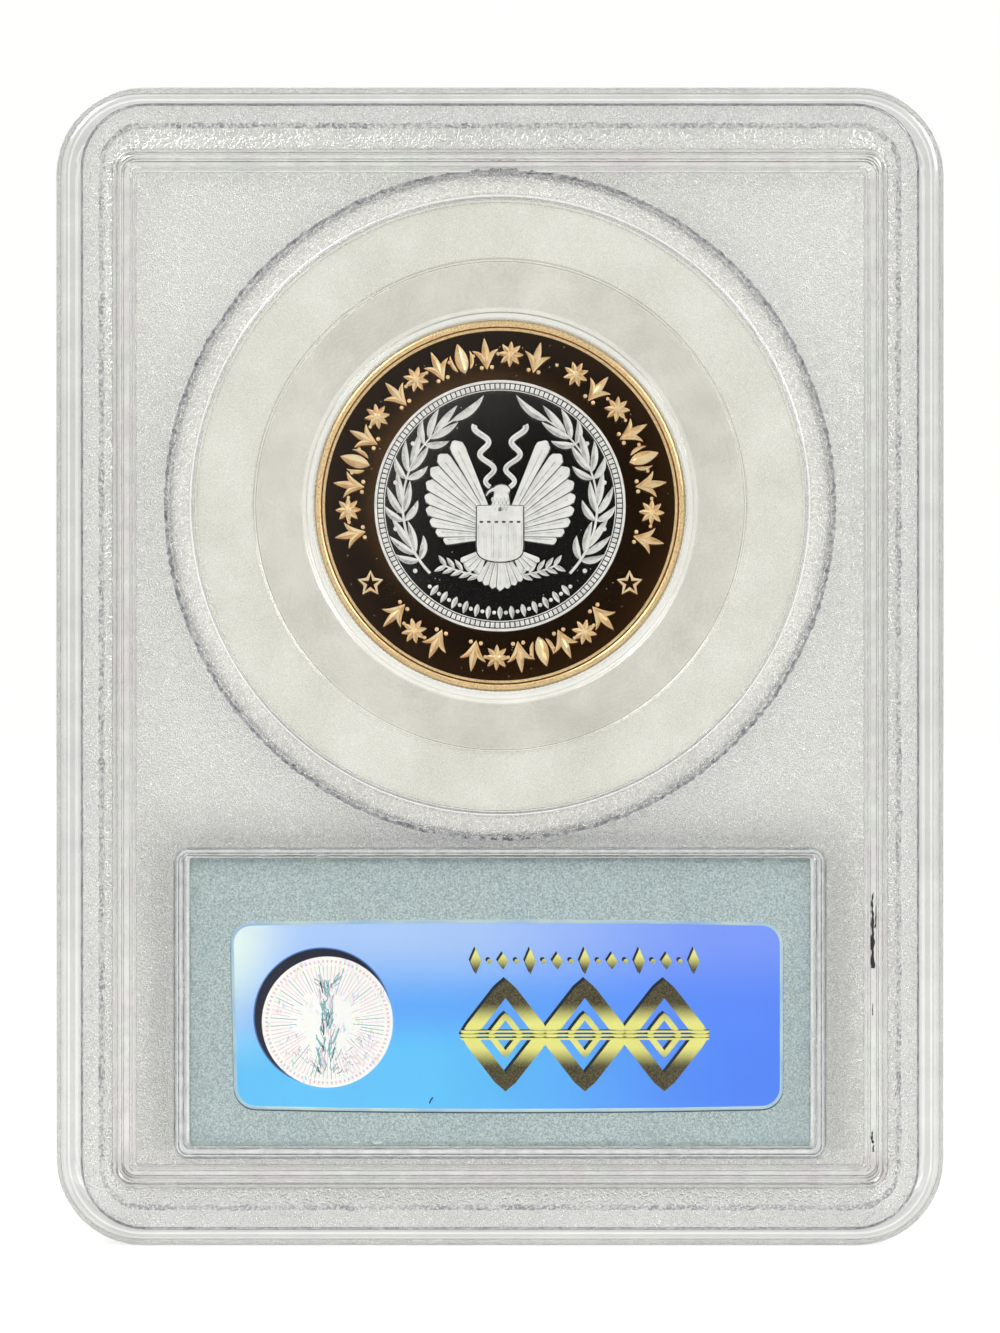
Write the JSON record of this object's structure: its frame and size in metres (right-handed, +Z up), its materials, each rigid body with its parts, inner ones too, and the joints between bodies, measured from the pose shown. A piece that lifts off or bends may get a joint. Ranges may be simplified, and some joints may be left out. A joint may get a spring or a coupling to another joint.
{
  "type": "graded coin slab",
  "caption": "Sealed clear case with round corners that holds a two-metal coin in a round window above a paper label with a foil sticker.",
  "frame": {"origin": "middle of the bottom edge that the slab stands on, at the label end, midway through the thickness", "axes": "+Z up along the height, from the label to the coin; +X to the right across the width when looking at the back; the back face looks towards -Y and the front face towards +Y"},
  "size_m": [0.064, 0.008, 0.0835],
  "materials": {
    "clear_shell": "clear polystyrene, polished on the rim, ribs and window, frosted on the band and field",
    "gasket": "clear plastic, satin on its outer part and polished next to the coin",
    "gold": "proof gold: mirror field with frosted raised ornament",
    "platinum": "proof platinum: mirror field with frosted raised ornament",
    "label_paper": "coated blue-green paper with fine mottle",
    "hologram_foil": "blue iridescent foil with gold and silver foil print"
  },
  "bodies": {
    "case": {"back_shell": "clear_shell", "front_shell": "clear_shell", "label_card": "label_paper", "hologram_sticker": "hologram_foil"},
    "coin_carrier": {"coin_gasket": "gasket", "coin_ring": "gold", "coin_core": "platinum"}
  },
  "joints": [
    {"name": "coin_turn", "type": "hinge", "parent": "case", "child": "coin_carrier", "pos_m": [0, 0, 0.0534], "axis": [0, 1, 0], "continuous": true}
  ]
}
